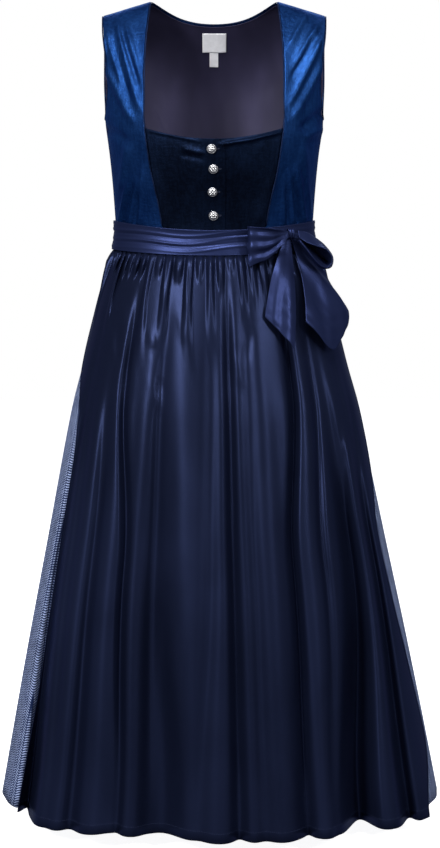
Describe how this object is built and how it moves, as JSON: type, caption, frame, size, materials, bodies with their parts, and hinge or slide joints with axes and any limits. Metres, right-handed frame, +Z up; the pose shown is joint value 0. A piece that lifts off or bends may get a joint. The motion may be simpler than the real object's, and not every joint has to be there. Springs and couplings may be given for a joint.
{
  "type": "dirndl",
  "caption": "Long sleeveless dirndl: fitted velvet bodice with square neck and button front, satin apron with band tied in a bow, printed skirt; worn form, hollow.",
  "frame": {"origin": "midway between the two shoulder seams, at their height, where the wearer's shoulders carry the dress", "axes": "+X to the wearer's left, -Y to the front, +Z up"},
  "size_m": [0.771, 0.5997, 1.4],
  "materials": {
    "blue_velvet": "crushed midnight-blue velvet",
    "navy_velvet": "dark navy velvet",
    "lining": "plain aubergine lining",
    "label_tape": "bare woven tape",
    "piping": "dark satin piping",
    "band_satin": "navy satin, soft gloss",
    "apron_satin": "navy satin, soft gloss",
    "printed_cotton": "navy cotton with a small pale herringbone print",
    "old_silver": "old-silver finish, domed with petals"
  },
  "bodies": {
    "root": {"bodice_front_right": "navy_velvet", "bodice_front_left": "navy_velvet", "bodice_side_front_right": "blue_velvet", "bodice_side_front_left": "blue_velvet", "bodice_back": "blue_velvet", "bodice_side_back_right": "blue_velvet", "bodice_side_back_left": "blue_velvet", "lining_back": "lining", "lining_side_right": "lining", "lining_side_left": "lining", "neck_label": "label_tape", "care_label": "label_tape", "cord_front_right": "piping", "cord_front_left": "piping", "cord_neck_back": "piping", "cord_armhole_right": "piping", "cord_armhole_left": "piping", "apron_band": "band_satin", "apron": "apron_satin", "skirt_front": "printed_cotton", "skirt_back": "printed_cotton", "bow_knot": "band_satin", "bow_loop_right": "band_satin", "bow_loop_left": "band_satin", "bow_tail_inner": "band_satin", "bow_tail_outer": "band_satin", "button_1": "old_silver", "button_2": "old_silver", "button_3": "old_silver", "button_4": "old_silver"}
  },
  "joints": []
}
